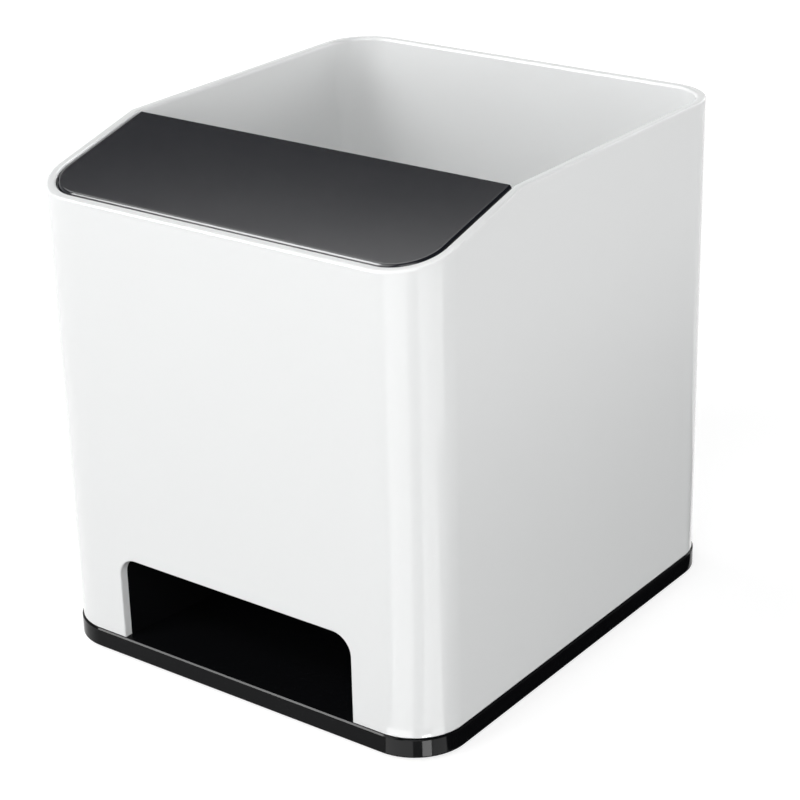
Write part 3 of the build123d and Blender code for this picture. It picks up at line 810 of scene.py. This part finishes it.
def screw_tree():
    """A screw turned from its half outline, with a thread and a cross recess, set out on a grid."""
    tree, inputs = new_tree(
        "screws", Steps="count", Thread_radius="size", Thread_depth="size", Thread_start="size",
        Thread_length="size", Thread_pitch="size", Cross_width="size", Cross_length="size",
        Cross_depth="size", Across="size", Along="size", Place="place",
    )
    body = turned(tree, inputs["Geometry"], inputs["Steps"])
    ridge = math_node(tree, "MULTIPLY", inputs["Thread depth"], RIDGE_SHARE)
    radius = math_node(tree, "SUBTRACT", inputs["Thread radius"], ridge)
    rotations = math_node(tree, "DIVIDE", inputs["Thread length"], inputs["Thread pitch"])
    helix = node(tree, "GeometryNodeCurveSpiral", {
        "Resolution": THREAD_STEPS, "Rotations": rotations, "Start Radius": radius,
        "End Radius": radius, "Height": inputs["Thread length"],
    })
    helix = node(tree, "GeometryNodeSetCurveNormal", {"Curve": helix.outputs[0]}, mode="Z_UP")
    triangle = node(tree, "GeometryNodeCurvePrimitiveCircle", {"Resolution": 3, "Radius": ridge})
    thread = node(tree, "GeometryNodeCurveToMesh", {
        "Curve": helix.outputs[0], "Profile Curve": triangle.outputs[0], "Fill Caps": True,
    })
    thread = moved(tree, thread.outputs[0], vector(tree, z=inputs["Thread start"]))
    depth = math_node(tree, "MULTIPLY", inputs["Cross depth"], 2.0)
    arms = [
        node(tree, "GeometryNodeMeshCube", {
            "Size": vector(tree, inputs[across], inputs[along], depth),
        }).outputs[0]
        for across, along in (("Cross length", "Cross width"), ("Cross width", "Cross length"))
    ]
    screw = combined(tree, "DIFFERENCE", combined(tree, "UNION", body, thread), *arms)
    places = node(tree, "GeometryNodeMergeByDistance", {
        "Geometry": four_corners(tree, inputs), "Distance": SAME_PLACE,
    })
    screws = node(tree, "GeometryNodeInstanceOnPoints", {"Points": places.outputs[0], "Instance": screw})
    return end_tree(tree, moved(tree, screws.outputs[0], inputs["Place"]), inputs["Material"])


class MakeScrews(bpy.types.Operator):
    """Make the screws that hold the sleeve and those that hold the cradle"""
    bl_idname = "pen_holder.make_screws"
    bl_label = "Make screws"

    def execute(self, context):
        sizes = context.scene.pen_holder_screws
        steel = plated_steel("plated steel", context.scene.pen_holder_finishes.steel)
        tree = screw_tree()
        core = sizes.shank_diameter / 2 - sizes.thread_depth
        head = sizes.head_diameter / 2
        for name, solid in (("sleeve_screws", "base_screws"), ("cradle_fixings", "cradle_screws")):
            low, high = box_of(solid)
            total = high.z - low.z
            outline = turned_outline((
                (0.0, 0.0, 0.0), (head, 0.0, sizes.head_round), (head, sizes.head_height, FINE_ROUND),
                (core, sizes.head_height, SMALL_ROUND), (core, total - sizes.tip_length, SMALL_ROUND),
                (core * TIP_SHARE, total, FINE_ROUND), (0.0, total, 0.0),
            ))
            thread_start = sizes.head_height + sizes.thread_gap
            mesh = grown(
                tree, outline, steel, Steps=SCREW_STEPS, Thread_radius=sizes.shank_diameter / 2,
                Thread_depth=sizes.thread_depth, Thread_start=thread_start,
                Thread_length=total - thread_start - sizes.tip_length, Thread_pitch=sizes.thread_pitch,
                Cross_width=sizes.cross_width, Cross_length=sizes.cross_length,
                Cross_depth=sizes.cross_depth, Across=high.x - low.x - sizes.head_diameter,
                Along=high.y - low.y - sizes.head_diameter,
                Place=((low.x + high.x) / 2, (low.y + high.y) / 2, low.z),
            )
            link_piece(name, shaded(mesh), steel, "screw_steel", solid)
        return {"FINISHED"}


def foot_centre(name):
    """The middle of a foot, seen from above."""
    low, high = box_of(name)
    return Vector(((low.x + high.x) / 2, (low.y + high.y) / 2, 0.0))


def foot_tree():
    """A foot turned from its half outline and set in its place."""
    tree, inputs = new_tree("foot", Steps="count", Place="place")
    body = turned(tree, inputs["Geometry"], inputs["Steps"])
    return end_tree(tree, moved(tree, body, inputs["Place"]), inputs["Material"])


class MakeFeet(bpy.types.Operator):
    """Make the four soft feet, each with grip grooves underneath"""
    bl_idname = "pen_holder.make_feet"
    bl_label = "Make feet"

    def execute(self, context):
        sizes = context.scene.pen_holder_feet
        rubber = soft_rubber("foot rubber")
        tree = foot_tree()
        for solid in FOOT_NAMES:
            low, high = box_of(solid)
            radius = (high.x - low.x) / 2
            rows = [(0.0, 0.0, 0.0)]

            # A groove is twice as wide as it is deep, and half as wide at its bottom
            half = sizes.ring_depth
            groove = sizes.ring_spacing
            while groove < radius - sizes.ring_spacing / 2:
                rows += [
                    (groove - half, 0.0, FINE_ROUND), (groove - half / 2, sizes.ring_depth, FINE_ROUND),
                    (groove + half / 2, sizes.ring_depth, FINE_ROUND), (groove + half, 0.0, FINE_ROUND),
                ]
                groove += sizes.ring_spacing
            rows += [(radius, 0.0, sizes.edge_round), (radius, high.z, SMALL_ROUND), (0.0, high.z, 0.0)]
            mesh = grown(
                tree, turned_outline(rows), rubber, Steps=FOOT_STEPS, Place=foot_centre(solid),
            )
            link_piece("grip_" + solid, shaded(mesh), rubber, "foot_rubber", solid)
        return {"FINISHED"}


# Finishes of the pieces

def gloss_white():
    return moulded(
        "gloss white", "white", shade=0.006, roughness=0.07, spread=0.015, grain=1.6 * MM,
        depth=0.0008 * MM,
    )


def satin_white():
    return moulded(
        "satin white", "white", shade=0.01, roughness=0.3, spread=0.03, grain=0.6 * MM,
        depth=0.004 * MM,
    )


def satin_charcoal():
    return moulded(
        "satin charcoal", "charcoal", shade=0.03, roughness=0.15, spread=0.003, grain=0.25 * MM,
        depth=0.006 * MM, Specular_IOR_Level=0.35,
    )


def gloss_black():
    return moulded(
        "gloss black", "black", shade=0.05, roughness=0.12, spread=0.02, grain=1.5 * MM,
        depth=0.001 * MM, Specular_IOR_Level=0.08,
    )


def satin_black():
    return moulded(
        "satin black", "satin", shade=0.05, roughness=0.4, spread=0.03, grain=0.3 * MM,
        depth=0.01 * MM,
    )


def soft_rubber(name):
    return moulded(
        name, "rubber", shade=0.12, roughness=0.72, spread=0.06, grain=0.2 * MM, depth=0.03 * MM,
    )


# Studio

# The direction from the object to the camera, from the front towards the right, its height over the
# floor, and the camera's roll
VIEW_AZIMUTH = math.radians(36.94)
VIEW_ELEVATION = math.radians(23.34)
VIEW_ROLL = math.radians(-1.41)

# The camera's place, and its focal length and picture width in pixels. Its sensor is in millimetres.
CAMERA_PLACE = (244.98 * MM, -322.52 * MM, 217.54 * MM)
FOCAL_LENGTH = 2243.6
PICTURE_WIDTH = 800
SENSOR_WIDTH = 36.0

# The point that the lamps are aimed at, and the white of what glows
LAMP_AIM = Vector((0.0, 0.0, 50 * MM))
WHITE = (1.0, 1.0, 1.0, 1.0)

# The floor's radius and grey, and how far off the round cards hang
FLOOR_RADIUS = 3.0
FLOOR_GREY = (0.4, 0.4, 0.4, 1.0)
CARD_DISTANCE = 3.0

# How many steps go round the floor and a round card, and along a card for a band
FLOOR_STEPS = 128
ROUND_CARD_STEPS = 64
BAND_STEPS = 8

# How high over the floor the cards for the bands lie
CARD_HEIGHT = 0.3 * MM

# The heights over the horizon between which the walls fade into the ceiling, in degrees
WALL_FADE = (15, 35)


def area_lamp(name, size, place, radiance):
    """A soft box of the given size, aimed at the object's middle."""
    data = bpy.data.lights.new(name, "AREA")
    data.shape = "RECTANGLE"
    data.size, data.size_y = size
    data.energy = radiance * math.pi * size[0] * size[1]
    lamp = new_object(name, data)
    lamp.location = place
    lamp.rotation_euler = (LAMP_AIM - Vector(place)).to_track_quat("-Z", "Y").to_euler()
    lamp.visible_camera = False
    lamp.visible_glossy = name not in UNMIRRORED


def seen_directly(tree):
    """1 for what the camera, a gloss or a glass sees directly, and 0 for light on rough surfaces."""
    ray = node(tree, "ShaderNodeLightPath").outputs
    seen = math_node(tree, "ADD", ray["Is Camera Ray"], ray["Is Glossy Ray"])
    return math_node(tree, "MINIMUM", math_node(tree, "ADD", seen, ray["Is Transmission Ray"]), 1.0)


# Each lamp's width and height, and its place
LAMPS = {
    "key": ((0.40, 0.40), (0.30, -0.55, 0.55)),
    "left": ((0.50, 0.50), (-0.75, 0.00, 0.30)),
    "high": ((0.40, 0.40), (-0.30, -0.56, 0.62)),
    "right": ((0.60, 0.20), (0.75, -0.15, 0.12)),
    "over": ((0.40, 0.14), (-0.40, 0.25, 0.68)),
    "back": ((0.50, 0.50), (0.10, 0.75, 0.40)),
    "edge": ((0.15, 0.15), (-0.41, -0.52, 0.40)),
}

# The lamps at the sides, low enough for the cover to mirror them in a side view: no gloss shows them
UNMIRRORED = ("left", "right")

# The cards that the front right corner mirrors as upright bands: each band's lower and upper end with
# its height and its first and last turn of the corner's wall in degrees, and its share of the cards'
# brightness
CARDS = (
    ((4.2 * MM, 10.5, 32.0), (110 * MM, 15.5, 37.0), 1.0),
    ((4.2 * MM, 43.5, 66.5), (110 * MM, 47.5, 72.5), 1.1),
    ((0.4 * MM, 5.5, 33.0), (4.0 * MM, 5.5, 33.0), 2.0),
    ((0.4 * MM, 42.0, 51.0), (3.2 * MM, 42.0, 51.0), 7.8),
    ((0.4 * MM, 52.0, 66.5), (4.0 * MM, 52.0, 66.5), 1.5),
)

# A dark card keeps the floor's white out of the low right side: its corners, and where it fades
DARK_CARD = (
    (45.3 * MM, -43.5 * MM), (180.0 * MM, -43.5 * MM), (180.0 * MM, 275.0 * MM), (45.3 * MM, 96.0 * MM),
)
FADE = (60 * MM, 170 * MM)

# The round cards overhead: each one's direction from the front towards the right, its height over
# the floor and its half width, in degrees
ROUND_CARDS = {"sky": (-101.0, 61.5, 24.0), "glint": (-49.0, 40.0, 8.0)}

# How far out the floor's own white starts to rise, and where it is as bright as the walls
FAR_FLOOR = (0.3, 1.0)


def disc(name, radius, steps, place=Matrix.Identity(4)):
    """A flat round mesh."""
    work = bmesh.new()
    bmesh.ops.create_circle(work, cap_ends=True, segments=steps, radius=radius, matrix=place)
    return mesh_from(work, name)


def make_floor(settings):
    """A pale round floor, which adds its own white where it is seen, and more of it far out."""
    mesh = disc("floor", FLOOR_RADIUS, FLOOR_STEPS)
    material, tree = new_material("floor")
    shader = tree.nodes["Principled BSDF"]
    shader.inputs["Base Color"].default_value = FLOOR_GREY
    shader.inputs["Roughness"].default_value = 0.9
    shader.inputs["Specular IOR Level"].default_value = 0.0
    shader.inputs["Emission Color"].default_value = WHITE
    place = node(tree, "ShaderNodeTexCoord").outputs["Object"]
    glow = node(tree, "ShaderNodeMapRange", {
        "Value": node(tree, "ShaderNodeVectorMath", {0: place}, operation="LENGTH").outputs["Value"],
        "From Min": FAR_FLOOR[0], "From Max": FAR_FLOOR[1],
        "To Min": settings.floor_glow, "To Max": settings.horizon,
    }, interpolation_type="SMOOTHSTEP")
    glow = math_node(tree, "MULTIPLY", seen_directly(tree), glow.outputs["Result"])
    tree.links.new(glow, shader.inputs["Emission Strength"])
    mesh.materials.append(material)
    new_object("floor", mesh)


def make_world(settings):
    """Pale walls all round that fade into a dark ceiling."""
    world = bpy.data.worlds.new("studio")
    bpy.context.scene.world = world
    world.use_nodes = True
    tree = world.node_tree
    tree.nodes.clear()
    way = node(tree, "ShaderNodeTexCoord").outputs["Generated"]
    height = node(tree, "ShaderNodeSeparateXYZ", {0: way}).outputs["Z"]
    low, high = (math.sin(math.radians(elevation)) for elevation in WALL_FADE)
    level = node(tree, "ShaderNodeMapRange", {
        "Value": height, "From Min": low, "From Max": high,
        "To Min": settings.horizon, "To Max": settings.ceiling,
    }, interpolation_type="SMOOTHSTEP")
    light = node(tree, "ShaderNodeBackground", {"Color": WHITE, "Strength": level.outputs["Result"]})
    node(tree, "ShaderNodeOutputWorld", {"Surface": light.outputs[0]})


def card_material(name, strength_value, fades):
    """A card of even brightness, or a dark one that fades to the floor's white farther out."""
    material, tree = new_material(name)
    tree.nodes.clear()
    glow = node(tree, "ShaderNodeEmission", {"Color": WHITE, "Strength": strength_value})
    if fades:
        place = node(tree, "ShaderNodeTexCoord").outputs["Object"]
        fade = node(tree, "ShaderNodeMapRange", {
            "Value": node(tree, "ShaderNodeSeparateXYZ", {0: place}).outputs["X"],
            "From Min": FADE[0], "From Max": FADE[1],
        }, interpolation_type="SMOOTHSTEP")
        tree.links.new(fade.outputs["Result"], glow.inputs["Strength"])
    node(tree, "ShaderNodeOutputMaterial", {"Surface": glow.outputs[0]})
    return material


def link_card(mesh, material):
    """A card that only the glossy surfaces mirror."""
    mesh.materials.append(material)
    card = new_object("card", mesh)
    card.visible_camera = False
    card.visible_diffuse = False
    card.visible_shadow = False


def mirrored_place(turn, height):
    """The place on the floor that the front right corner mirrors at a turn of its wall and a height."""
    radius = bpy.context.scene.pen_holder_sleeve.corner_radius
    way = 2 * turn - VIEW_AZIMUTH
    reach = height / math.tan(VIEW_ELEVATION)
    return (
        SLEEVE_HIGH.x - radius + radius * math.sin(turn) + reach * math.sin(way),
        SLEEVE_LOW.y + radius - radius * math.cos(turn) - reach * math.cos(way),
        CARD_HEIGHT,
    )


def make_cards(settings):
    """Cards low on the floor and round ones overhead, which only the glossy surfaces mirror."""
    for lower_end, upper_end, share in CARDS:
        inner, outer = (
            [
                mirrored_place(math.radians(first + (last - first) * step / BAND_STEPS), height)
                for step in range(BAND_STEPS + 1)
            ]
            for height, first, last in (lower_end, upper_end)
        )
        outline = inner[::-1] + outer
        mesh = mesh_of("card", outline, [range(len(outline))])
        link_card(mesh, card_material("card", settings.card * share, False))
    mesh = mesh_of("card", [(x, y, CARD_HEIGHT) for x, y in DARK_CARD], [range(len(DARK_CARD))])
    link_card(mesh, card_material("dark card", 0.0, True))
    for name, (azimuth, elevation, half_width) in ROUND_CARDS.items():
        way = Vector((0.0, 0.0, 1.0))
        way.rotate(Euler((math.radians(90 - elevation), 0.0, math.radians(azimuth))))
        turn = way.to_track_quat("Z", "Y").to_matrix().to_4x4()
        mesh = disc(
            "card", CARD_DISTANCE * math.tan(math.radians(half_width)), ROUND_CARD_STEPS,
            Matrix.Translation(way * CARD_DISTANCE) @ turn,
        )
        link_card(mesh, card_material("card", getattr(settings, name), False))


def make_camera():
    """The camera at the photograph's viewing angle."""
    data = bpy.data.cameras.new("camera")
    camera = new_object("camera", data)
    back = Vector((
        math.sin(VIEW_AZIMUTH) * math.cos(VIEW_ELEVATION),
        -math.cos(VIEW_AZIMUTH) * math.cos(VIEW_ELEVATION), math.sin(VIEW_ELEVATION),
    ))
    right = Vector((math.cos(VIEW_AZIMUTH), math.sin(VIEW_AZIMUTH), 0.0))
    up = back.cross(right)
    turned_right = math.cos(VIEW_ROLL) * right + math.sin(VIEW_ROLL) * up
    turned_up = -math.sin(VIEW_ROLL) * right + math.cos(VIEW_ROLL) * up
    camera.matrix_world = Matrix((turned_right, turned_up, back)).transposed().to_4x4()
    camera.location = CAMERA_PLACE
    data.sensor_width = SENSOR_WIDTH
    data.lens = FOCAL_LENGTH / PICTURE_WIDTH * SENSOR_WIDTH
    bpy.context.scene.camera = camera


class MakeStage(bpy.types.Operator):
    """Make the floor, the lamps, the cards, the world and the camera"""
    bl_idname = "pen_holder.make_stage"
    bl_label = "Make stage"

    def execute(self, context):
        settings = context.scene.pen_holder_stage
        make_floor(settings)
        make_world(settings)
        make_cards(settings)
        for name, (size, place) in LAMPS.items():
            area_lamp(name, size, place, getattr(settings, name))
        make_camera()
        context.scene.view_settings.view_transform = "Standard"
        return {"FINISHED"}


# Add-on

SETTINGS = {
    "pen_holder_sleeve": SleeveSettings,
    "pen_holder_fittings": FittingSettings,
    "pen_holder_screws": ScrewSettings,
    "pen_holder_feet": FootSettings,
    "pen_holder_finishes": FinishSettings,
    "pen_holder_stage": StageSettings,
}
OPERATORS = (
    MakeSleeve, MakeCover, MakeCradle, MakeRestPad, MakeDivider, MakeBase, MakeScrews, MakeFeet, MakeStage,
)


class PiecesPanel(bpy.types.Panel):
    """The pen holder's operators and their settings"""
    bl_idname = "PEN_HOLDER_PT_pieces"
    bl_label = "Pen Holder"
    bl_space_type = "VIEW_3D"
    bl_region_type = "UI"
    bl_category = "Pen Holder"

    def draw(self, context):
        for operator in OPERATORS:
            self.layout.operator(operator.bl_idname)
        for name, group in SETTINGS.items():
            box = self.layout.box()
            box.label(text=group.__doc__)
            for setting in group.__annotations__:
                box.prop(getattr(context.scene, name), setting)


def register():
    for item in (*SETTINGS.values(), *OPERATORS, PiecesPanel):
        bpy.utils.register_class(item)
    for name, group in SETTINGS.items():
        setattr(bpy.types.Scene, name, bpy.props.PointerProperty(type=group))


def unregister():
    for name in SETTINGS:
        delattr(bpy.types.Scene, name)
    for item in reversed((*SETTINGS.values(), *OPERATORS, PiecesPanel)):
        bpy.utils.unregister_class(item)


def main():
    register()
    bpy.ops.pen_holder.make_sleeve()
    bpy.ops.pen_holder.make_cover()
    bpy.ops.pen_holder.make_cradle()
    bpy.ops.pen_holder.make_rest_pad()
    bpy.ops.pen_holder.make_divider()
    bpy.ops.pen_holder.make_base()
    bpy.ops.pen_holder.make_screws()
    bpy.ops.pen_holder.make_feet()
    bpy.ops.pen_holder.make_stage()


if __name__ == "__main__":
    main()
